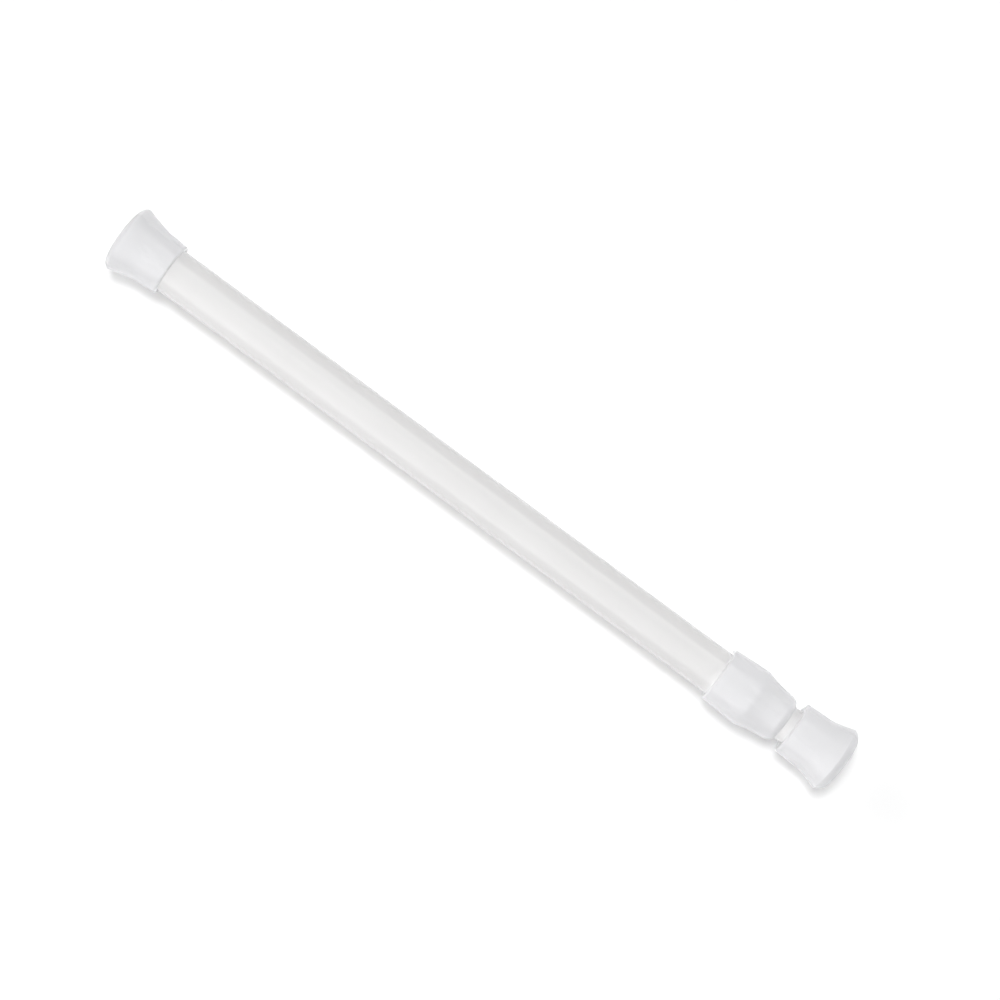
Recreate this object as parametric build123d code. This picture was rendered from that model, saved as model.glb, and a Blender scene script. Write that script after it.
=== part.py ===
from build123d import *
import math
import os

# Extendable curtain rod: a spring tension rod, modelled pushed fully in.
# It lies along X, in millimetres, and the origin is the middle of the left foot's wall face.
# The outer tube is closed by the left foot. The inner tube carries the right foot and draws out.
# Inside, a plug on a spring carries an eccentric post. When the rod is twisted, a split cam ring
# on that post wedges against the outer tube's bore, and the spring then presses the feet apart.

# Lengths along the rod
closed_length = 300.0           # from wall face to wall face, pushed in
neck_length = 3.0               # inner tube that still shows when the rod is pushed in
end_room = 3.8                  # free bore between the left foot's floor and the cam screw
stop_gap = 0.3                  # from the inner tube's bead to the collar's shoulder, drawn out

# Tubes
outer_tube_d = 16.0
outer_tube_wall = 0.5
tube_gap = 1.15                 # radial space between the two tubes
inner_tube_wall = 0.5
bead_width = 1.6                # rolled beads that trap the guide ring, and the seat's groove
bead_height = 0.5

# Feet
foot_floor = 3.2                # moulding between the wall and the tube's end
left_length = 20.0
left_flare = 4.3                # how far the rim stands out from the outer tube
left_rim_at = 2.1               # from the wall face to the rim
left_lip_r = 3.4                # round between the rim and the wall face
left_flare_angle = 14.0         # slope of the outline behind the rim, in degrees
left_straight = 7.2             # length of the plain barrel behind the mouth
left_draft = 3.5                # slope of that barrel, in degrees
left_mouth_wall = 1.45
right_length = 21.0
right_flare = 4.05
right_rim_at = 3.3
right_lip_r = 4.0
right_flare_angle = 19.0
right_straight = 9.0
right_draft = 2.0
right_mouth_wall = 3.25
rim_round = 0.4                 # small round between the lip and the flare
dish_r = 5.2                    # shallow hollow in the middle of the wall face
dish_depth = 0.8
grip_count = 2                  # ring grooves in the wall face around the hollow
grip_width = 0.4
grip_depth = 0.4
mouth_round = 0.9               # outer edge of the feet's mouths and of the collar's rear end

# Joint collar
collar_length = 27.5
collar_socket_depth = 14.5      # how far the outer tube goes in
collar_rear_wall = 1.85
collar_swell = 0.8              # rise of the radius from the rear edge to the crease
collar_crease_at = 13.8         # from the rear edge
collar_bulge = 0.1              # how far the swelling stands above a straight line
collar_hollow = 0.27            # how far the taper lies below a straight line
collar_crease_round = 7.0
collar_nose_wall = 2.35         # wall around the inner tube where the taper ends
collar_nose_length = 2.6        # rounded tip in front of the taper
collar_tip_wall = 0.55

# Guide ring
guide_length = 7.0
split_width = 1.0
split_slant = 20.0              # in degrees

# Spring and its seat
spring_length = 60.0
spring_turns = 12
spring_wire_d = 1.2
spring_gap = 0.5                # radial space between the coils and the inner tube
spring_travel = 18.0            # how far the plug can be pushed in
seat_length = 5.0
spigot_length = 4.0             # pegs that centre the coils at both ends

# Lock plug, cam ring and their screw
plug_flange_length = 3.0
plug_flange_gap = 0.5           # radial space between the flange and the outer tube
plug_end_gap = 1.0              # left between the flange and the inner tube, spring pressed in
stem_tail = 8.0                 # stem beyond the slot
cam_length = 8.0
cam_gap = 0.6                   # radial space around the cam ring when it is free
lock_angle = 50.0               # turn of the cam ring from free to wedged, in degrees
lock_clearance = 0.1            # left at that angle
post_r = 3.0
cam_split_width = 1.5
cam_flute_count = 15
cam_flute_r = 0.7
cam_flute_depth = 0.3
screw_shank_r = 1.2
screw_shank_length = 7.0
screw_head_r = 2.3
screw_head_height = 1.8
recess_width = 0.6
recess_length = 2.8
recess_depth = 0.9
washer_r = 4.4
washer_thickness = 0.8

# Travel rivet
rivet_r = 1.25
rivet_head_r = 2.0
rivet_head_height = 0.45
rivet_end_margin = 8.0          # from the inner tube's hidden end
rivet_to_bead = 4.5

# Clearances
push_fit = 0.05                 # tube in a foot or in the collar
running_fit = 0.08              # guide ring and collar against what slides in them
pivot_fit = 0.1                 # cam ring on its post
stem_fit = 0.15                 # stem and seat in the inner tube
slot_fit = 0.15                 # slot around the rivet
end_fit = 0.1                   # end play of the two rings
spigot_fit = 0.3
lead_in = 0.2                   # chamfer at the mouth of a socket
ring_chamfer = 0.25

# Radii worked out from the sizes above
outer_tube_r = outer_tube_d / 2
outer_bore_r = outer_tube_r - outer_tube_wall
inner_tube_r = outer_bore_r - tube_gap
inner_bore_r = inner_tube_r - inner_tube_wall
left_rim_r = outer_tube_r + left_flare
right_rim_r = outer_tube_r + right_flare
stem_r = inner_bore_r - stem_fit
spring_r = inner_bore_r - spring_gap
spigot_r = spring_r - spring_wire_d - spigot_fit
cam_ring_r = outer_bore_r - cam_gap
lock_throw = 2 * math.sin(math.radians(lock_angle / 2))
eccentricity = (cam_gap - lock_clearance) / lock_throw

# Places along the rod, from the left
screw_head_x = foot_floor + end_room
washer_x = screw_head_x + screw_head_height
post_x = washer_x + washer_thickness
flange_x = post_x + cam_length + 2 * end_fit
flange_end_x = flange_x + plug_flange_length
inner_end_x = flange_end_x + spring_travel + plug_end_gap
rivet_x = inner_end_x + rivet_end_margin
first_bead_x = rivet_x + rivet_to_bead
guide_x = first_bead_x + bead_width + end_fit
second_bead_x = guide_x + guide_length + end_fit
stem_end_x = rivet_x + rivet_r + slot_fit + stem_tail
seat_x = stem_end_x + spring_length
seat_groove_x = seat_x + (seat_length - bead_width) / 2

# Places along the rod, from the right
right_mouth_x = closed_length - right_length
collar_nose_x = right_mouth_x - neck_length
collar_rear_x = collar_nose_x - collar_length
collar_shoulder_x = collar_rear_x + collar_socket_depth

# The second bead meets the collar's shoulder when the rod is drawn out
travel = collar_shoulder_x - stop_gap - second_bead_x - bead_width
extended_length = closed_length + travel


def turned(*outline):
    """Solid turned about the rod's axis from a closed outline of x and radius."""
    edges = [edge for curve in outline for edge in curve.edges()]
    return revolve(make_face(edges), Axis.X)


def tube(start, end, bore_r, outer_r):
    """Plain tube on the rod's axis. A bore of zero makes a bar."""
    section = Pos((start + end) / 2, (bore_r + outer_r) / 2) * Rectangle(end - start, outer_r - bore_r)
    return revolve(section, Axis.X)


def bead(start, radius, height):
    """Ring with a shallow round section standing on a radius, or hanging from it."""
    left = (start, radius)
    middle = (start + bead_width / 2, radius + height)
    right = (start + bead_width, radius)
    return turned(ThreePointArc(left, middle, right), Line(right, left))


def mouth_fillet(section, corner, wall):
    """Section with the outer edge of its mouth rounded as far as the wall allows."""
    corner_vertex = section.vertices().sort_by_distance(corner)[0]
    return fillet(corner_vertex, min(mouth_round, 0.7 * wall))


def grip_grooves(face_r):
    """Ring grooves spread evenly over the flat part of a foot's wall face."""
    pitch = (face_r - dish_r) / (grip_count + 1)
    grooves = Part()
    for i in range(grip_count):
        middle = dish_r + pitch * (i + 1)
        grooves += tube(0, grip_depth, middle - grip_width / 2, middle + grip_width / 2)
    return grooves


def foot(tube_r, length, rim_r, rim_at, lip_r, flare_angle, straight, draft, mouth_wall):
    """Moulded foot with its wall face at x = 0 and its mouth towards +X."""
    socket_r = tube_r + push_fit
    mouth_edge = (length, tube_r + mouth_wall)
    slope = math.radians(draft)
    waist = (length - straight, mouth_edge[1] + straight * math.tan(slope))

    # The lip's arc is tangent to the wall face and to the small round of the rim
    rim_centre = (rim_at, rim_r - rim_round)
    rise = math.sqrt((lip_r - rim_round) ** 2 - (lip_r - rim_at) ** 2)
    face_r = rim_centre[1] - rise
    meet_angle = math.degrees(math.atan2(rise, rim_at - lip_r))
    lip = CenterArc((lip_r, face_r), lip_r, 180, meet_angle - 180)
    rim = CenterArc(rim_centre, rim_round, meet_angle, 90 - flare_angle - meet_angle)

    flare_slope = math.radians(flare_angle)
    flare_directions = [(math.cos(flare_slope), -math.sin(flare_slope)), (math.cos(slope), -math.sin(slope))]
    flare = Spline(rim @ 1, waist, tangents=flare_directions)
    dish = TangentArc((dish_depth, 0), (0, dish_r), tangent=(0, 1))
    inside = Polyline(
        mouth_edge,
        (length, socket_r + lead_in),
        (length - lead_in, socket_r),
        (foot_floor, socket_r),
        (foot_floor, 0),
        (dish_depth, 0),
    )
    edges = [dish, Line((0, dish_r), (0, face_r)), lip, rim, flare, Line(waist, mouth_edge), inside]
    section = make_face([edge for curve in edges for edge in curve.edges()])
    section = mouth_fillet(section, mouth_edge, mouth_wall - push_fit - lead_in)
    return revolve(section, Axis.X) - grip_grooves(face_r)


def left_foot():
    """Foot on the outer tube."""
    return foot(
        outer_tube_r,
        left_length,
        left_rim_r,
        left_rim_at,
        left_lip_r,
        left_flare_angle,
        left_straight,
        left_draft,
        left_mouth_wall,
    )


def right_foot():
    """Foot on the inner tube, turned round."""
    facing_left = foot(
        inner_tube_r,
        right_length,
        right_rim_r,
        right_rim_at,
        right_lip_r,
        right_flare_angle,
        right_straight,
        right_draft,
        right_mouth_wall,
    )
    return Pos(closed_length, 0, 0) * Rot(0, 0, 180) * facing_left


def outer_tube():
    return tube(foot_floor, collar_shoulder_x, outer_bore_r, outer_tube_r)


def collar():
    """Moulded collar: socket for the outer tube, shoulder, and a guide bore for the inner tube."""
    socket_r = outer_tube_r + push_fit
    guide_bore_r = inner_tube_r + running_fit
    rear_r = outer_tube_r + collar_rear_wall
    rear_edge = (collar_rear_x, rear_r)
    crease = (collar_rear_x + collar_crease_at, rear_r + collar_swell)
    taper_end = (collar_nose_x - collar_nose_length, inner_tube_r + collar_nose_wall)
    tip = (collar_nose_x, inner_tube_r + collar_tip_wall)
    swelling = SagittaArc(rear_edge, crease, collar_bulge)
    taper = SagittaArc(crease, taper_end, -collar_hollow)
    nose = TangentArc(taper_end, tip, tangent=taper % 1)
    inside = Polyline(
        tip,
        (collar_nose_x - lead_in, guide_bore_r),
        (collar_shoulder_x, guide_bore_r),
        (collar_shoulder_x, socket_r),
        (collar_rear_x + lead_in, socket_r),
        (collar_rear_x, socket_r + lead_in),
        rear_edge,
    )
    edges = [swelling, taper, nose, inside]
    section = make_face([edge for curve in edges for edge in curve.edges()])
    section = fillet(section.vertices().sort_by_distance(crease)[0], collar_crease_round)
    section = mouth_fillet(section, rear_edge, collar_rear_wall - push_fit - lead_in)
    return revolve(section, Axis.X)


def inner_tube():
    """Inner tube with two beads rolled outwards and a groove rolled inwards over the spring seat."""
    body = tube(inner_end_x, closed_length - foot_floor, inner_bore_r, inner_tube_r)
    for start in (first_bead_x, second_bead_x):
        body += bead(start, inner_tube_r, bead_height)
        body -= bead(start, inner_bore_r, bead_height)
    body -= bead(seat_groove_x, inner_tube_r, -bead_height)
    body += bead(seat_groove_x, inner_bore_r, -bead_height)
    rivet_hole = Cylinder(rivet_r, 2 * outer_tube_r)
    return body - Pos(rivet_x, 0, 0) * rivet_hole


def ring_section(start, length, bore_r, outer_r):
    """Turned ring with its four edges chamfered."""
    section = Pos(start + length / 2, (bore_r + outer_r) / 2) * Rectangle(length, outer_r - bore_r)
    return revolve(chamfer(section.vertices(), ring_chamfer), Axis.X)


def guide_ring():
    """Split ring that snaps on between the beads and runs in the outer tube."""
    bore_r = inner_tube_r + running_fit
    outer_r = outer_bore_r - running_fit
    ring = ring_section(guide_x, guide_length, bore_r, outer_r)
    split = Box(2 * guide_length, split_width, 2 * outer_tube_r, align=(Align.CENTER, Align.CENTER, Align.MIN))
    return ring - Pos(guide_x + guide_length / 2, 0, 0) * Rot(0, 0, split_slant) * split


def travel_rivet():
    """Cross rivet through the inner tube, with a thin button on each side of it."""
    pin = Cylinder(rivet_r, 2 * inner_tube_r)
    buttons = Cylinder(rivet_head_r, 2 * (inner_tube_r + rivet_head_height))
    rims = buttons.edges().filter_by(GeomType.CIRCLE)
    buttons = fillet(rims, rivet_head_height / 2)
    buttons -= Rot(0, 90, 0) * Cylinder(inner_tube_r, 4 * rivet_head_r)
    return Pos(rivet_x, 0, 0) * (pin + buttons)


def spring():
    """Compression spring with its ends ground flat."""
    pitch = spring_length / spring_turns
    lead = pitch / 2
    middle_r = spring_r - spring_wire_d / 2
    start = (stem_end_x - lead, 0, 0)
    path = Helix(pitch, spring_length + 2 * lead, middle_r, center=start, direction=(1, 0, 0))
    wire = Plane(origin=path @ 0, z_dir=path % 0) * Circle(spring_wire_d / 2)
    coils = sweep(wire, path=path, is_frenet=True)
    return coils & tube(stem_end_x, seat_x, 0, inner_bore_r)


def spring_seat():
    """Plug that the inner tube is rolled on to, with a peg for the coils."""
    disc = tube(seat_x, seat_x + seat_length, 0, stem_r)
    peg = tube(seat_x - spigot_length, seat_x, 0, spigot_r)
    return disc + peg - bead(seat_groove_x, inner_bore_r, -bead_height)


def on_post(shape):
    """Moved from the rod's axis to the eccentric post's."""
    return Pos(0, 0, eccentricity) * shape


def lock_plug():
    """Moulded plug: eccentric post, flange, slotted stem and a peg for the coils."""
    plug = on_post(tube(post_x, flange_x, 0, post_r))
    plug += tube(flange_x, flange_end_x, 0, outer_bore_r - plug_flange_gap)
    plug += tube(flange_end_x, stem_end_x, 0, stem_r)
    plug += tube(stem_end_x, stem_end_x + spigot_length, 0, spigot_r)
    slot = SlotCenterToCenter(spring_travel, 2 * (rivet_r + slot_fit))
    plug -= Pos(rivet_x - spring_travel / 2, 0, 0) * extrude(slot, amount=outer_tube_r, both=True)
    return plug - on_post(screw_shank(0))


def cam_ring():
    """Split ring, fluted outside, whose bore is off its middle by the post's eccentricity."""
    start = post_x + end_fit
    ring = tube(start, start + cam_length, 0, cam_ring_r)
    ring -= on_post(tube(start, start + cam_length, 0, post_r + pivot_fit))
    flute_axis_r = cam_ring_r + cam_flute_r - cam_flute_depth
    flute = tube(start, start + cam_length, 0, cam_flute_r)
    for i in range(cam_flute_count):
        angle = 360 * (i + 0.5) / cam_flute_count
        ring -= Rot(angle, 0, 0) * Pos(0, 0, flute_axis_r) * flute
    split = Box(cam_length, cam_split_width, outer_tube_r, align=(Align.MIN, Align.CENTER, Align.MIN))
    return ring - Pos(start, 0, 0) * split


def cam_washer():
    return on_post(tube(washer_x, post_x, screw_shank_r + push_fit, washer_r))


def screw_shank(tip):
    """Shank of the cam screw on the rod's axis, from under its head, with a cone of a given length."""
    end = washer_x + screw_shank_length
    if tip == 0:
        return tube(washer_x, end, 0, screw_shank_r)
    outline = Polyline((washer_x, 0), (washer_x, screw_shank_r), (end - tip, screw_shank_r), (end, 0), close=True)
    return turned(outline)


def cam_screw():
    """Pan-head screw with a cross recess, driven into the eccentric post."""
    head = tube(screw_head_x, washer_x, 0, screw_head_r)
    rim = head.edges().filter_by(GeomType.CIRCLE).sort_by(Axis.X)[0]
    head = fillet(rim, screw_head_height / 2)
    for angle in (45, 135):
        arm = Box(recess_depth, recess_width, recess_length, align=(Align.MIN, Align.CENTER, Align.CENTER))
        head -= Pos(screw_head_x, 0, 0) * Rot(angle, 0, 0) * arm
    return on_post(head + screw_shank(screw_shank_r))


nodes = {
    "outer_tube": outer_tube(),
    "left_foot": left_foot(),
    "collar": collar(),
    "guide_ring": guide_ring(),
    "inner_tube": inner_tube(),
    "right_foot": right_foot(),
    "travel_rivet": travel_rivet(),
    "spring_seat": spring_seat(),
    "spring": spring(),
    "lock_plug": lock_plug(),
    "cam_ring": cam_ring(),
    "cam_washer": cam_washer(),
    "cam_screw": cam_screw(),
}

print(f"Closed {closed_length:.1f} mm, drawn out {extended_length:.1f} mm")
print(f"Post eccentricity {eccentricity:.4f} mm, post from x = {post_x:.2f} mm")

os.makedirs("parts", exist_ok=True)
for name, solid in nodes.items():
    export_step(solid, f"parts/{name}.step")
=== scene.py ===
import math

import bpy
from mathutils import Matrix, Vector


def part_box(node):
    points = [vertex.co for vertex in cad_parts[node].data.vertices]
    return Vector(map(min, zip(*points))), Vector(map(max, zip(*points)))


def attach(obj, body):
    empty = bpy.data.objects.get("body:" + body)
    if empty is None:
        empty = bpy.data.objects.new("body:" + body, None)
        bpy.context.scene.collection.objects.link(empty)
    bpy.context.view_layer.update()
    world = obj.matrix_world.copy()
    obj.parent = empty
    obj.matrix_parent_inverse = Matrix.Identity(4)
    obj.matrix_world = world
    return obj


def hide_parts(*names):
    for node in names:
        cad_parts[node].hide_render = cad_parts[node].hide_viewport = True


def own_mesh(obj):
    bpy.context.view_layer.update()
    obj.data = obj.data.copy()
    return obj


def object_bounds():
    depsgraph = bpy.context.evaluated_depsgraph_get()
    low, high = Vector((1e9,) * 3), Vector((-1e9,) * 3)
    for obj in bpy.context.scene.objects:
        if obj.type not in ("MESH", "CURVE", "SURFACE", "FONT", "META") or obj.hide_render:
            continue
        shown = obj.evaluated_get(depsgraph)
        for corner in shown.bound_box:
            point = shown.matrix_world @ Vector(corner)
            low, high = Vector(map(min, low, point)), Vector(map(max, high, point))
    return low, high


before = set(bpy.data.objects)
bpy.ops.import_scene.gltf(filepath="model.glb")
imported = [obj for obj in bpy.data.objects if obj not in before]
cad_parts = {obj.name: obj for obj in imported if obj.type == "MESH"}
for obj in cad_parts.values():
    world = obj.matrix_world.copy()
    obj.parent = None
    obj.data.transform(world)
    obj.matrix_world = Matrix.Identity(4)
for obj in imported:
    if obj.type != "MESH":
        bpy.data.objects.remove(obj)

# Extendable curtain rod, pushed in and lying level. X runs along the rod, from the left foot's wall face.
# The tubes, feet, collar and spring are turned or coiled again here with their fine detail.
# The other inner pieces keep their solids and get their finish.

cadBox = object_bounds()
mm = 0.001

print("stage: measuring the frame")


def span(node):
    # first x, last x and outer radius of a turned node
    low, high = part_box(node)
    return low.x, high.x, high.z


outerStart, outerEnd, outerRadius = span("outer_tube")
innerStart, innerEnd, _ = span("inner_tube")
closedLength = span("right_foot")[1]
tubeWall = 0.5 * mm
tubeGap = 1.15 * mm               # between the outer tube's bore and the inner tube
innerRadius = outerRadius - tubeWall - tubeGap
rodMiddle = (closedLength / 2, 0, 0)

print("stage: finishes")


class Wire:  # a shader socket whose sums and products add Math nodes
    def __init__(self, board, socket):
        self.board = board
        self.socket = socket

    def maths(self, operation, first, second):
        return self.board.add("ShaderNodeMath", {"operation": operation}, {0: first, 1: second})

    def __add__(self, other):
        return self.maths("ADD", self, other)

    def __radd__(self, other):
        return self.maths("ADD", other, self)

    def __mul__(self, other):
        return self.maths("MULTIPLY", self, other)

    def __rmul__(self, other):
        return self.maths("MULTIPLY", other, self)


class Board:  # one material's or one world's nodes
    def __init__(self, tree):
        self.tree = tree
        tree.nodes.clear()

    def add(self, kind, settings=None, sockets=None, out=0):
        # gives back the output that out picks, or the node itself where out is None or there are no outputs
        node = self.tree.nodes.new(kind)
        for key, value in (settings or {}).items():
            setattr(node, key, value)
        for key, value in (sockets or {}).items():
            self.feed(node.inputs[key], value)
        if out is None or len(node.outputs) == 0:
            return node
        return Wire(self, node.outputs[out])

    def feed(self, socket, value):
        if isinstance(value, Wire):
            self.tree.links.new(value.socket, socket)
        else:
            socket.default_value = value


def newMaterial(name):
    made = bpy.data.materials.new(name)
    made.use_nodes = True
    return made, Board(made.node_tree)


def grey(tone):
    return (tone, tone, tone, 1)


def mixColour(board, factor, first, second):
    sockets = {"Factor": factor, 6: first, 7: second}  # 6 and 7 are the two colours
    return board.add("ShaderNodeMix", {"data_type": "RGBA"}, sockets, out=2)


def objectPlace(board):
    return board.add("ShaderNodeTexCoord", out=3)  # output 3 is the place on the object


def spread(board, value, low, high):
    # stretches what lies between low and high to the whole range from 0 to 1
    sockets = {"Value": value, "From Min": low, "From Max": high}
    return board.add("ShaderNodeMapRange", {"clamp": True}, sockets)


def noiseAt(board, place, noise):
    # noise from its own small dictionary, spread out where that gives a range
    sockets = {"Vector": place, "Scale": noise["scale"], "Detail": noise["detail"]}
    sockets["Roughness"] = noise.get("roughness", 0.5)
    made = board.add("ShaderNodeTexNoise", None, sockets)
    if "range" in noise:
        return spread(board, made, *noise["range"])
    return made


def bump(board, height, look):
    sockets = {"Height": height, "Distance": look["bumpDepth"], "Strength": look["bumpStrength"]}
    return board.add("ShaderNodeBump", None, sockets)


def surface(board, colour, roughness, normal, fixed):
    # fixed holds the sockets that are the same all over the surface
    sockets = {"Base Color": colour, "Roughness": roughness, "Normal": normal, **fixed}
    shader = board.add("ShaderNodeBsdfPrincipled", None, sockets)
    board.add("ShaderNodeOutputMaterial", None, {"Surface": shader})


enamelLook = {
    "plain": (0.832, 0.825, 0.822, 1),
    "pale": (0.852, 0.846, 0.843, 1),
    "drift": {"scale": 34, "detail": 2, "range": (0.35, 0.65)},
    "peel": {"scale": 900, "detail": 2},
    "speck": {"scale": 1500, "detail": 1, "range": (0.70, 0.78)},
    "driftTone": 0.8,             # shares of the colour's change
    "peelTone": 0.2,
    "rough": 0.14,
    "driftRough": 0.05,           # roughness added by each
    "speckRough": 0.12,
    "speckHeight": 0.4,           # the peel's height is 1
    "bumpDepth": 0.02 * mm,
    "bumpStrength": 0.35,
    "specular": 0.5,
}


def enamelFinish():
    # warm white stove enamel: a faint orange peel, a slow drift of tone along the tube, and a few specks
    made, board = newMaterial("warmWhiteEnamel")
    look = enamelLook
    place = objectPlace(board)
    drift = noiseAt(board, place, look["drift"])
    peel = noiseAt(board, place, look["peel"])
    speck = noiseAt(board, place, look["speck"])
    tone = drift * look["driftTone"] + peel * look["peelTone"]
    colour = mixColour(board, tone, look["plain"], look["pale"])
    rough = look["rough"] + drift * look["driftRough"] + speck * look["speckRough"]
    normal = bump(board, peel + speck * look["speckHeight"], look)
    surface(board, colour, rough, normal, {"Specular IOR Level": look["specular"]})
    return made


mouldingLook = {
    "plain": (0.826, 0.825, 0.841, 1),
    "pale": (0.848, 0.847, 0.862, 1),
    "flowStretch": (0.35, 1, 1),  # makes the flow marks longer along the axis
    "flow": {"scale": 120, "detail": 3, "range": (0.3, 0.7)},
    "grain": {"scale": 3800, "detail": 2, "roughness": 0.6},
    "swirl": {"scale": 260, "detail": 2},
    "flowTone": 0.7,              # shares of the colour's change
    "swirlTone": 0.3,
    "rough": 0.21,
    "flowRough": 0.06,            # roughness added by each
    "grainRough": 0.05,
    "swirlHeight": 0.5,           # the grain's height is 1
    "bumpDepth": 0.012 * mm,
    "bumpStrength": 0.5,
    "specular": 0.45,
    "milkiness": 0.5,
    "milkDepth": 1.4 * mm,
}


def mouldingFinish():
    # cool white moulding from a spark-eroded mould: fine matt grain and faint flow marks along the axis
    made, board = newMaterial("coolWhiteMoulding")
    look = mouldingLook
    place = objectPlace(board)
    stretched = board.add("ShaderNodeMapping", None, {"Vector": place, "Scale": look["flowStretch"]})
    flow = noiseAt(board, stretched, look["flow"])
    grain = noiseAt(board, place, look["grain"])
    swirl = noiseAt(board, place, look["swirl"])
    tone = flow * look["flowTone"] + swirl * look["swirlTone"]
    colour = mixColour(board, tone, look["plain"], look["pale"])
    rough = look["rough"] + flow * look["flowRough"] + grain * look["grainRough"]
    normal = bump(board, grain + swirl * look["swirlHeight"], look)
    fixed = {
        "Specular IOR Level": look["specular"],
        "Subsurface Weight": look["milkiness"],
        "Subsurface Scale": look["milkDepth"],
        "Subsurface Radius": (1, 1, 1),  # the same for red, green and blue
    }
    surface(board, colour, rough, normal, fixed)
    return made


nylonLook = {
    "plain": (0.70, 0.67, 0.58, 1),
    "pale": (0.80, 0.77, 0.69, 1),
    "cloud": {"scale": 210, "detail": 4, "range": (0.3, 0.7)},
    "grain": {"scale": 2400, "detail": 2},
    "rough": 0.38,
    "cloudRough": 0.08,
    "cloudHeight": 0.3,           # the grain's height is 1
    "bumpDepth": 0.01 * mm,
    "bumpStrength": 0.4,
    "milkiness": 0.15,
    "milkDepth": 0.5 * mm,
}


def nylonFinish():
    # natural nylon: waxy, a little yellow, with cloudy flow
    made, board = newMaterial("naturalNylon")
    look = nylonLook
    place = objectPlace(board)
    cloud = noiseAt(board, place, look["cloud"])
    grain = noiseAt(board, place, look["grain"])
    colour = mixColour(board, cloud, look["plain"], look["pale"])
    rough = look["rough"] + cloud * look["cloudRough"]
    normal = bump(board, grain + cloud * look["cloudHeight"], look)
    fixed = {"Subsurface Weight": look["milkiness"], "Subsurface Scale": look["milkDepth"]}
    surface(board, colour, rough, normal, fixed)
    return made


zincLook = {
    "dull": (0.52, 0.54, 0.58, 1),
    "bright": (0.68, 0.69, 0.71, 1),
    "crystalScale": 1400,
    "patch": {"scale": 500, "detail": 3, "range": (0.35, 0.65)},
    "rough": 0.24,
    "patchRough": 0.12,           # roughness added by each
    "crystalRough": 0.08,
    "bumpDepth": 0.01 * mm,
    "bumpStrength": 0.3,
}


def zincFinish():
    # bright zinc plate: bluish, with a crystalline mottle and a rougher grain in patches
    made, board = newMaterial("zincPlate")
    look = zincLook
    place = objectPlace(board)
    crystals = board.add("ShaderNodeTexVoronoi", None, {"Vector": place, "Scale": look["crystalScale"]})
    patch = noiseAt(board, place, look["patch"])
    colour = mixColour(board, patch, look["dull"], look["bright"])
    rough = look["rough"] + patch * look["patchRough"] + crystals * look["crystalRough"]
    normal = bump(board, crystals + patch, look)
    surface(board, colour, rough, normal, {"Metallic": 1.0})
    return made


wireLook = {
    "dark": (0.22, 0.22, 0.23, 1),
    "pale": (0.36, 0.36, 0.37, 1),
    "marks": {"scale": 2600, "detail": 4, "roughness": 0.7},
    "film": {"scale": 180, "detail": 2, "range": (0.4, 0.6)},
    "rough": 0.30,
    "marksRough": 0.14,
    "bumpDepth": 0.012 * mm,
    "bumpStrength": 0.5,
}


def wireFinish():
    # drawn spring wire: dark, with draw marks and a film of oil
    made, board = newMaterial("drawnSpringWire")
    look = wireLook
    place = objectPlace(board)
    marks = noiseAt(board, place, look["marks"])
    film = noiseAt(board, place, look["film"])
    colour = mixColour(board, film, look["dark"], look["pale"])
    rough = look["rough"] + marks * look["marksRough"]
    normal = bump(board, marks, look)
    surface(board, colour, rough, normal, {"Metallic": 1.0})
    return made


enamel = enamelFinish()
moulding = mouldingFinish()
nylon = nylonFinish()
zinc = zincFinish()
springSteel = wireFinish()

print("stage: turning tools")

onAxis = 1e-9                     # an outline point whose radius is no more than this lies on the axis
nearlyStraight = math.radians(178)
sharpAngle = math.radians(32)     # between faces, from which an edge is shaded sharp
seamClear = 2.5                   # half widths of a seam that stay free of even columns
seamProfile = ((-2, 0.0), (-1, 0.6), (0, 1.0), (1, 0.6), (2, 0.0))  # half widths across, and share of height


def arcPoints(centre, radius, fromDegrees, turnDegrees, steps):
    points = []
    for i in range(steps + 1):
        angle = math.radians(fromDegrees + turnDegrees * i / steps)
        points.append((centre[0] + radius * math.cos(angle), centre[1] + radius * math.sin(angle)))
    return points


def slopeOf(start, end):
    # slope of the line between two outline points, in degrees
    return math.degrees(math.atan2(end[1] - start[1], end[0] - start[0]))


def easedCurve(start, end, startSlope, endSlope, steps):
    # cubic from start to end that leaves and arrives at the given slopes, in degrees
    reach = math.dist(start, end)
    leave = (reach * math.cos(math.radians(startSlope)), reach * math.sin(math.radians(startSlope)))
    arrive = (reach * math.cos(math.radians(endSlope)), reach * math.sin(math.radians(endSlope)))
    points = []
    for i in range(steps + 1):
        t = i / steps
        startPart = 2 * t**3 - 3 * t**2 + 1
        leavePart = t**3 - 2 * t**2 + t
        endPart = 3 * t**2 - 2 * t**3
        arrivePart = t**3 - t**2
        point = []
        for k in (0, 1):
            leaving = startPart * start[k] + leavePart * leave[k]
            point.append(leaving + endPart * end[k] + arrivePart * arrive[k])
        points.append(tuple(point))
    return points


def bulgedLine(start, end, rise, steps):
    # circular arc through start and end whose middle stands above the line by rise, or below it if negative
    points = []
    across = math.dist(start, end)
    normal = ((start[1] - end[1]) / across, (end[0] - start[0]) / across)
    radius = (across**2 / 4 + rise**2) / (2 * abs(rise))
    for i in range(steps + 1):
        t = i / steps
        side = across * (t - 0.5)
        height = math.copysign(math.sqrt(radius**2 - side**2) - radius + abs(rise), rise)
        x = start[0] + (end[0] - start[0]) * t + normal[0] * height
        points.append((x, start[1] + (end[1] - start[1]) * t + normal[1] * height))
    return points


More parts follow.
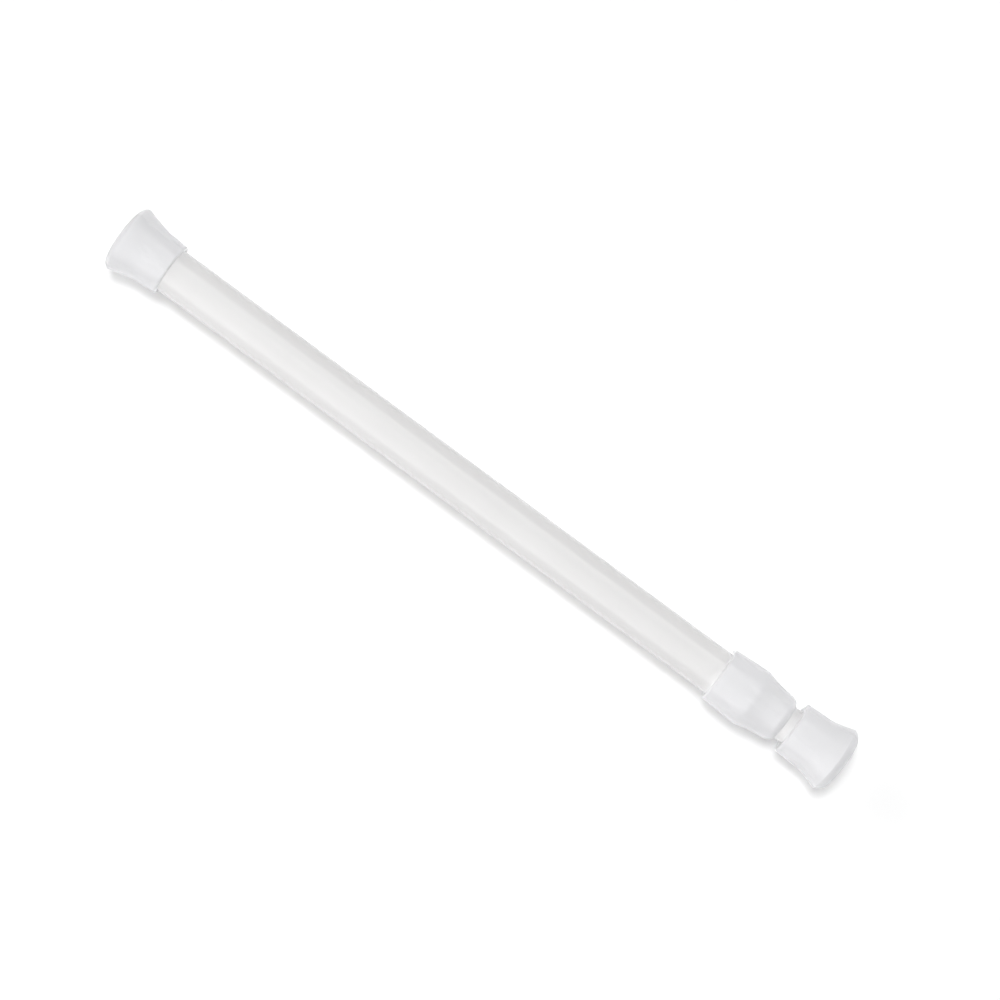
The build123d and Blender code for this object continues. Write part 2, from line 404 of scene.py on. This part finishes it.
def roundCorner(before, corner, after, radius, steps=4, share=0.45):
    # arc that replaces a sharp corner of an outline and takes no more than a share of either side
    toBefore = Vector(before) - Vector(corner)
    toAfter = Vector(after) - Vector(corner)
    bend = toBefore.angle(toAfter)
    if bend > nearlyStraight:
        return [corner]
    reach = radius / math.tan(bend / 2)
    reach = min(reach, share * toBefore.length, share * toAfter.length)
    first = Vector(corner) + toBefore.normalized() * reach
    last = Vector(corner) + toAfter.normalized() * reach
    weight = math.sin(bend / 2)
    points = []
    for i in range(steps + 1):
        t = i / steps
        parts = ((1 - t) ** 2, 2 * t * (1 - t) * weight, t**2)
        blend = first * parts[0] + Vector(corner) * parts[1] + last * parts[2]
        points.append(tuple(blend / sum(parts)))
    return points


def roundedPath(corners, radius):
    # polyline whose inner corners are rounded; its two ends stay
    points = [corners[0]]
    for before, corner, after in zip(corners, corners[1:], corners[2:]):
        points += roundCorner(before, corner, after, radius)
    points.append(corners[-1])
    return points


def anglesAround(count, seams=(), halfWidth=0):
    # even columns around the axis, with closer ones and a ridge share at each mould seam
    columns = []
    for i in range(count):
        angle = 2 * math.pi * i / count
        away = [abs(math.remainder(angle - seam, 2 * math.pi)) for seam in seams]
        if all(distance > seamClear * halfWidth for distance in away):
            columns.append((angle, 0.0))
    for seam in seams:
        for offset, share in seamProfile:
            columns.append(((seam + offset * halfWidth) % (2 * math.pi), share))
    return sorted(columns)


def turnedPiece(name, outline, columns, material, ridge=0.0, ridgeFrom=0, ridgeTo=0):
    # lathe: spins an outline of x and radius around X. Points on the axis become one vertex.
    # Outline points from ridgeFrom to ridgeTo carry the mould seam's ridge.
    closed = outline[0][1] > 0
    vertices = []
    rings = []
    for k, (x, radius) in enumerate(outline):
        if radius <= onAxis:
            rings.append([len(vertices)])
            vertices.append((x, 0, 0))
            continue
        ring = []
        for angle, share in columns:
            out = radius
            if ridgeFrom <= k < ridgeTo:
                out += ridge * share
            ring.append(len(vertices))
            vertices.append((x, out * math.cos(angle), out * math.sin(angle)))
        rings.append(ring)
    pairs = list(zip(rings, rings[1:]))
    if closed:
        pairs.append((rings[-1], rings[0]))
    faces = []
    count = len(columns)
    for first, second in pairs:
        for i in range(count):
            j = (i + 1) % count
            corners = [first[i % len(first)], first[j % len(first)]]
            corners += [second[j % len(second)], second[i % len(second)]]
            faces.append(list(dict.fromkeys(corners)))  # a triangle where one ring is a point
    return meshPiece(name, vertices, faces, material)


def meshPiece(name, vertices, faces, material):
    mesh = bpy.data.meshes.new(name)
    mesh.from_pydata(vertices, [], faces)
    mesh.validate()
    if signedVolume(mesh) < 0:
        mesh.flip_normals()
    mesh.polygons.foreach_set("use_smooth", [True] * len(mesh.polygons))
    mesh.set_sharp_from_angle(angle=sharpAngle)
    mesh.materials.append(material)
    piece = bpy.data.objects.new(name, mesh)
    bpy.context.scene.collection.objects.link(piece)
    return piece


def signedVolume(mesh):
    # six times the volume, below 0 where the faces of a closed mesh look inwards
    total = 0.0
    for polygon in mesh.polygons:
        corners = [mesh.vertices[i].co for i in polygon.vertices]
        for second, third in zip(corners[1:], corners[2:]):
            total += corners[0].dot(second.cross(third))
    return total


def fit(piece, body, slot, *nodes):
    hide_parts(*nodes)
    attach(piece, body)
    return piece


print("stage: feet")

mouldShape = {                    # what the feet and the collar share
    "seamAt": 34,                 # degrees around the axis; the other seam is opposite
    "seamHalfWidth": 0.009,       # in radians
    "seamHeight": 0.05 * mm,
    "around": 144,
    "fineEdge": 0.1 * mm,
    "mouthRound": 0.9 * mm,
    "mouthShare": 0.7,            # of the mouth's wall, which its round may take at most
    "mouthSteps": 8,
    "leadIn": 0.2 * mm,
    "socketFit": 0.05 * mm,
}
footShape = {
    "rimRound": 0.4 * mm,         # small round between the lip and the flare
    "dishRadius": 5.2 * mm,
    "dishDepth": 0.8 * mm,
    "dishSteps": 11,
    "gateRadius": 0.7 * mm,       # stub of the moulding gate in the dish
    "gateHeight": 0.18 * mm,
    "gateEdge": 0.04 * mm,
    "gateTop": 0.85,              # of the gate's radius
    "gateSkirt": 1.25,            # of the gate's radius, where the dish starts
    "gripCount": 2,
    "gripWidth": 0.4 * mm,
    "gripDepth": 0.4 * mm,
    "lipSteps": 14,
    "rimSteps": 6,
    "flareSteps": 24,
}
leftFootShape = {
    "rimAt": 2.1 * mm,            # from the wall face
    "lip": 3.4 * mm,
    "flare": 14,                  # slopes in degrees
    "straight": 7.2 * mm,
    "draft": 3.5,
    "mouthWall": 1.45 * mm,
}
rightFootShape = {
    "rimAt": 3.3 * mm,
    "lip": 4.0 * mm,
    "flare": 19,
    "straight": 9.0 * mm,
    "draft": 2,
    "mouthWall": 3.25 * mm,
}


def mouthCorner(before, corner, boreRadius):
    # rounded outer edge of a mouth, as large as its wall allows
    radius = min(mouldShape["mouthRound"], mouldShape["mouthShare"] * (corner[1] - boreRadius))
    return roundCorner(before, corner, (corner[0], boreRadius), radius, mouldShape["mouthSteps"], share=0.8)


def mouldedPiece(name, path, ridgeFrom, ridgeTo):
    # turned moulding with the two seams of its mould
    shape = mouldShape
    seam = math.radians(shape["seamAt"])
    columns = anglesAround(shape["around"], [seam, seam + math.pi], shape["seamHalfWidth"])
    return turnedPiece(name, path, columns, moulding, shape["seamHeight"], ridgeFrom, ridgeTo)


def dishOutline():
    # the gate's stub in the middle of the wall face and the hollow around it
    shape = footShape
    depth = shape["dishDepth"]
    top = depth - shape["gateHeight"]
    gate = shape["gateRadius"]
    path = [(top, 0.0), (top, gate * shape["gateTop"]), (top + shape["gateEdge"], gate)]
    sphere = (shape["dishRadius"] ** 2 + depth**2) / (2 * depth)
    inner = gate * shape["gateSkirt"]
    for i in range(shape["dishSteps"] + 1):
        radius = inner + (shape["dishRadius"] - inner) * (i / shape["dishSteps"])
        path.append((depth - sphere + math.sqrt(sphere**2 - radius**2), radius))
    return path


def gripOutline(start, face):
    # the flat ring of the wall face with its grip grooves, from the dish's edge to the lip
    shape = footShape
    flat = face - shape["dishRadius"]
    corners = [start]
    for i in range(shape["gripCount"]):
        middle = shape["dishRadius"] + flat * (i + 1) / (shape["gripCount"] + 1)
        near = middle - shape["gripWidth"] / 2
        far = middle + shape["gripWidth"] / 2
        corners += [(0, near), (shape["gripDepth"], near), (shape["gripDepth"], far), (0, far)]
    corners.append((0, face))
    return roundedPath(corners, mouldShape["fineEdge"])[1:]


def lipAndRim(rim, size):
    # the lip's arc leaves the wall face squarely and runs into the small round of the rim
    small = footShape["rimRound"]
    lip = size["lip"]
    rise = math.sqrt((lip - small) ** 2 - (lip - size["rimAt"]) ** 2)
    face = rim - small - rise
    meet = math.degrees(math.atan2(rise, size["rimAt"] - lip))
    path = arcPoints((lip, face), lip, 180, meet - 180, footShape["lipSteps"])
    rimTurn = 90 - size["flare"] - meet
    path += arcPoints((size["rimAt"], rim - small), small, meet, rimTurn, footShape["rimSteps"])[1:]
    return face, path


def footOutline(node, tubeRadius, size):
    # from the wall face's middle at x = 0, over the lip and the flare, to the middle of the socket's floor
    start, end, rim = span(node)
    length = end - start
    face, lipPath = lipAndRim(rim, size)
    path = dishOutline()
    path += gripOutline(path[-1], face)
    ridgeFrom = len(path)
    path += lipPath[1:]
    mouth = (length, tubeRadius + size["mouthWall"])
    waist = (length - size["straight"], mouth[1] + size["straight"] * math.tan(math.radians(size["draft"])))
    path += easedCurve(path[-1], waist, -size["flare"], -size["draft"], footShape["flareSteps"])[1:]
    socket = tubeRadius + mouldShape["socketFit"]
    lead = mouldShape["leadIn"]
    path += mouthCorner(waist, mouth, socket + lead)
    ridgeTo = len(path)
    floor = outerStart            # in both feet the socket ends this far from the wall face
    inside = [path[-1], (length, socket + lead), (length - lead, socket), (floor, socket), (floor, 0.0)]
    path += roundedPath(inside, mouldShape["fineEdge"])[1:]
    return path, ridgeFrom, ridgeTo


def makeFoot(name, node, mirrored, tubeRadius, size):
    path, ridgeFrom, ridgeTo = footOutline(node, tubeRadius, size)
    if mirrored:
        path = [(closedLength - x, radius) for x, radius in path]
    return mouldedPiece(name, path, ridgeFrom, ridgeTo)


leftFoot = makeFoot("leftFootMoulding", "left_foot", False, outerRadius, leftFootShape)
fit(leftFoot, "outer", "white_moulding", "left_foot")
rightFoot = makeFoot("rightFootMoulding", "right_foot", True, innerRadius, rightFootShape)
fit(rightFoot, "inner", "white_moulding", "right_foot")

print("stage: collar")

collarShape = {
    "rearWall": 1.85 * mm,
    "swell": 0.8 * mm,            # rise of the radius from the rear edge to the crease
    "creaseAt": 13.8 * mm,        # from the rear edge
    "bulge": 0.1 * mm,            # of the swelling, above a straight line
    "hollow": 0.27 * mm,          # of the taper, below a straight line
    "creaseRound": 7.0 * mm,
    "creaseReach": 1.2 * mm,      # on either side of the crease, left to its round
    "noseWall": 2.35 * mm,        # around the inner tube, where the taper ends
    "noseLength": 2.6 * mm,
    "tipWall": 0.55 * mm,
    "guideFit": 0.08 * mm,
    "sideSteps": 24,
    "rearSteps": 4,               # of the swelling, left to the mouth's round
    "creaseSteps": 12,
    "noseSteps": 12,
}


def collarOutline():
    # from the rear edge over the swelling, the crease, the taper and the nose, and back through the bores
    shape = collarShape
    rear, nose, _ = span("collar")
    rearEdge = (rear, outerRadius + shape["rearWall"])
    crease = (rear + shape["creaseAt"], rearEdge[1] + shape["swell"])
    taperEnd = (nose - shape["noseLength"], innerRadius + shape["noseWall"])
    tip = (nose, innerRadius + shape["tipWall"])
    socket = outerRadius + mouldShape["socketFit"]
    guide = innerRadius + shape["guideFit"]
    lead = mouldShape["leadIn"]
    reach = shape["creaseReach"]
    swelling = bulgedLine(rearEdge, crease, shape["bulge"], shape["sideSteps"])[shape["rearSteps"]:]
    taper = bulgedLine(crease, taperEnd, -shape["hollow"], shape["sideSteps"])
    path = mouthCorner(swelling[0], rearEdge, socket + lead)[::-1]
    path += [point for point in swelling if point[0] < crease[0] - reach]
    beyond = [point for point in taper if point[0] > crease[0] + reach]
    path += roundCorner(path[-1], crease, beyond[0], shape["creaseRound"], shape["creaseSteps"], share=0.9)
    path += beyond
    taperSlope = slopeOf(taper[-2], taper[-1])
    tipSlope = 2 * slopeOf(taperEnd, tip) - taperSlope
    path += easedCurve(taperEnd, tip, taperSlope, tipSlope, shape["noseSteps"])[1:]
    ridgeTo = len(path)
    inside = [
        path[-1],
        (nose - lead, guide),
        (outerEnd, guide),
        (outerEnd, socket),
        (rear + lead, socket),
        (rear, socket + lead),
        path[0],
    ]
    path += roundedPath(inside, mouldShape["fineEdge"])[1:-1]
    return path, ridgeTo


collarPath, collarRidgeTo = collarOutline()
collar = mouldedPiece("collarMoulding", collarPath, 0, collarRidgeTo)
fit(collar, "outer", "white_moulding", "collar")

print("stage: tubes")

tubeShape = {
    "edge": 0.12 * mm,
    "around": 128,
    "beadHeight": 0.5 * mm,
    "beadWidth": 1.6 * mm,
    "beadSteps": 8,
    "endPlay": 0.1 * mm,          # between a bead and the guide ring
    "seatDisc": 5.0 * mm,         # thickness of the spring seat's disc
}


def makeOuterTube():
    bore = outerRadius - tubeWall
    corners = [
        (outerStart, bore + tubeWall / 2),
        (outerStart, outerRadius),
        (outerEnd, outerRadius),
        (outerEnd, bore),
        (outerStart, bore),
        (outerStart, bore + tubeWall / 2),
    ]
    path = roundedPath(corners, tubeShape["edge"])[:-1]
    return turnedPiece("outerTubeSkin", path, anglesAround(tubeShape["around"]), enamel)


fit(makeOuterTube(), "outer", "tube_enamel", "outer_tube")


def makeInnerTube():
    # two beads stand against the guide ring's ends, and a groove grips the spring seat's disc in its middle
    shape = tubeShape
    bore = innerRadius - tubeWall
    width = shape["beadWidth"]
    guideStart, guideEnd, _ = span("guide_ring")
    seatEnd = span("spring_seat")[1]
    marks = [
        (guideStart - shape["endPlay"] - width, shape["beadHeight"]),
        (guideEnd + shape["endPlay"], shape["beadHeight"]),
        (seatEnd - (shape["seatDisc"] + width) / 2, -shape["beadHeight"]),
    ]
    outside = []
    for start, height in marks:
        outside += bulgedLine((start, innerRadius), (start + width, innerRadius), height, shape["beadSteps"])
    inside = [(x, radius - tubeWall) for x, radius in reversed(outside)]
    edge = shape["edge"]
    path = roundCorner((innerStart, bore), (innerStart, innerRadius), outside[0], edge)
    path += outside
    path += roundCorner(outside[-1], (innerEnd, innerRadius), (innerEnd, bore), edge)
    path += roundCorner((innerEnd, innerRadius), (innerEnd, bore), inside[0], edge)
    path += inside
    path += roundCorner(inside[-1], (innerStart, bore), (innerStart, innerRadius), edge)
    return turnedPiece("innerTubeSkin", path, anglesAround(shape["around"]), enamel)


fit(makeInnerTube(), "inner", "tube_enamel", "inner_tube")

print("stage: spring and inner pieces")

springShape = {"turns": 12, "wire": 1.2 * mm, "stepsPerTurn": 40, "aroundWire": 12}


def makeSpring():
    # coil with ground ends: the wire starts and stops on its seats and is cut flat there
    shape = springShape
    start, end, outside = span("spring")
    wireRadius = shape["wire"] / 2
    coilRadius = outside - wireRadius
    steps = shape["turns"] * shape["stepsPerTurn"]
    around = shape["aroundWire"]
    pitchRate = (end - start) / (2 * math.pi * shape["turns"])
    vertices = []
    for i in range(steps + 1):
        turn = 2 * math.pi * shape["turns"] * i / steps
        centre = Vector((start + pitchRate * turn, coilRadius * math.cos(turn), coilRadius * math.sin(turn)))
        outward = Vector((0, math.cos(turn), math.sin(turn)))
        along = Vector((pitchRate, -coilRadius * math.sin(turn), coilRadius * math.cos(turn))).normalized()
        sideways = along.cross(outward)
        for k in range(around):
            angle = 2 * math.pi * k / around
            point = centre + wireRadius * (math.cos(angle) * outward + math.sin(angle) * sideways)
            vertices.append((min(max(point.x, start), end), point.y, point.z))
    faces = []
    for i in range(steps):
        for k in range(around):
            j = (k + 1) % around
            faces.append((i * around + k, i * around + j, (i + 1) * around + j, (i + 1) * around + k))
    faces.append(tuple(range(around)))
    faces.append(tuple(steps * around + k for k in range(around)))
    return meshPiece("springCoil", vertices, faces, springSteel)


spring = fit(makeSpring(), "inner", "spring_wire", "spring")
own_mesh(spring)

cadFinishes = {
    "guide_ring": nylon,
    "lock_plug": nylon,
    "cam_ring": nylon,
    "spring_seat": nylon,
    "travel_rivet": zinc,
    "cam_washer": zinc,
    "cam_screw": zinc,
}
for nodeName, finish in cadFinishes.items():
    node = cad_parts[nodeName]
    for holder in node.material_slots:
        holder.material = finish

print("stage: studio")

studio = {
    "cameraHeight": 909 * mm,     # above the rod's axis
    "tilt": 36.37,                # slope of the rod across the picture, in degrees
    "focalPixels": 2700,
    "sensorWidth": 36,
    "rodMiddle": (482.8, 499.8),  # where the middle of the rod lies in the picture, in pixels
    "pictureSide": 1000,
    "floorSide": 6.0,
    "floorTone": 0.86,
    "mottleTone": 0.02,           # added where the floor is palest
    "mottle": {"scale": 5, "detail": 3},
    "floorGlare": (1.2, 3.2),     # floor colour seen as backdrop, nearby and far out, where less light falls
    "glareReach": (0.5, 3.0),     # where that change starts and ends, in metres from the left foot
    "floorLift": 0.03,            # light added to the floor seen as backdrop
    "worldTone": 0.27,
}
lamps = [
    {"name": "overheadSoftbox", "place": (-0.25, 0.48, 2.5), "size": (0.62, 0.62), "power": 25.5},
    {"name": "leftFill", "place": (-2.1, 0.15, 1.2), "size": (1.6, 1.4), "power": 13},
    {"name": "lowFill", "place": (0.15, -1.0, 0.2), "size": (1.2, 0.2), "power": 4.6, "shadow": False},
    {"name": "farFill", "place": (1.05, 0.75, 0.35), "size": (1.0, 0.3), "power": 3.2},
    {
        "name": "ceilingCard",    # for reflections, without diffuse light; straight above its target
        "place": (-0.425, -0.525, 0.9),
        "target": (-0.425, -0.525, 0),
        "size": (2.65, 3.95),
        "power": 78,
        "hiddenFrom": "diffuse",
    },
]


def makeCamera():
    # straight down over the rod, turned so that the rod falls from the upper left to the lower right
    half = studio["pictureSide"] / 2
    scale = studio["cameraHeight"] / studio["focalPixels"]
    angle = math.radians(studio["tilt"])
    right = Vector((math.cos(angle), math.sin(angle), 0))
    up = Vector((-math.sin(angle), math.cos(angle), 0))
    aside = (half - studio["rodMiddle"][0]) * scale
    lower = (half - studio["rodMiddle"][1]) * scale
    data = bpy.data.cameras.new("overheadCamera")
    data.sensor_width = studio["sensorWidth"]
    data.lens = studio["sensorWidth"] * studio["focalPixels"] / studio["pictureSide"]
    camera = bpy.data.objects.new("overheadCamera", data)
    height = Vector((0, 0, studio["cameraHeight"]))
    camera.location = Vector(rodMiddle) + right * aside - up * lower + height
    camera.rotation_euler = (0, 0, angle)
    bpy.context.scene.collection.objects.link(camera)
    bpy.context.scene.camera = camera


def whiteSeen(board):
    # 1 for the rays that show the white backdrop: the camera's, and those off or through a shiny surface
    paths = board.add("ShaderNodeLightPath", out=None)
    rays = ("Is Camera Ray", "Is Glossy Ray", "Is Transmission Ray")
    kinds = [Wire(board, paths.outputs[ray]) for ray in rays]
    return board.add("ShaderNodeClamp", None, {"Value": kinds[0] + kinds[1] + kinds[2]})


def makeFloor():
    # pale paper that takes the rod's shadow, and a white backdrop to the rays of whiteSeen
    half = studio["floorSide"] / 2
    height = cadBox[0][2]
    corners = [(-half, -half, height), (half, -half, height), (half, half, height), (-half, half, height)]
    made, board = newMaterial("paleFloor")
    tone = studio["floorTone"]
    place = objectPlace(board)
    mottle = noiseAt(board, place, studio["mottle"])
    seen = whiteSeen(board)
    paper = mixColour(board, mottle, grey(tone), grey(tone + studio["mottleTone"]))
    away = board.add("ShaderNodeVectorMath", {"operation": "LENGTH"}, {0: place}, out=1)
    nearby, outside = studio["floorGlare"]
    backdrop = mixColour(board, spread(board, away, *studio["glareReach"]), grey(nearby), grey(outside))
    colour = mixColour(board, seen, paper, backdrop)
    base = board.add("ShaderNodeBsdfDiffuse", None, {"Color": colour})
    lift = board.add("ShaderNodeEmission", None, {"Color": grey(1), "Strength": seen * studio["floorLift"]})
    both = board.add("ShaderNodeAddShader", None, {0: base, 1: lift})
    board.add("ShaderNodeOutputMaterial", None, {"Surface": both})
    floor = meshPiece("paleFloor", corners, [(0, 1, 2, 3)], made)


def makeWorld():
    world = bpy.data.worlds.new("studioWorld")
    world.use_nodes = True
    board = Board(world.node_tree)
    tone = studio["worldTone"]
    strength = whiteSeen(board) * (1 - tone) + tone
    glow = board.add("ShaderNodeBackground", None, {"Color": grey(1), "Strength": strength})
    board.add("ShaderNodeOutputWorld", None, {"Surface": glow})
    bpy.context.scene.world = world


def softbox(name, place, size, power, target=rodMiddle, hiddenFrom="glossy", shadow=True):
    # rectangular light that one kind of ray doesn't see
    light = bpy.data.lights.new(name, "AREA")
    light.shape = "RECTANGLE"
    light.size = size[0]
    light.size_y = size[1]
    light.energy = power
    light.use_shadow = shadow
    lamp = bpy.data.objects.new(name, light)
    lamp.location = place
    lamp.rotation_euler = (Vector(target) - Vector(place)).to_track_quat("-Z", "Y").to_euler()
    setattr(lamp, "visible_" + hiddenFrom, False)
    bpy.context.scene.collection.objects.link(lamp)


makeCamera()
makeFloor()
makeWorld()
for settings in lamps:
    softbox(**settings)
bpy.context.scene.view_settings.view_transform = "Standard"
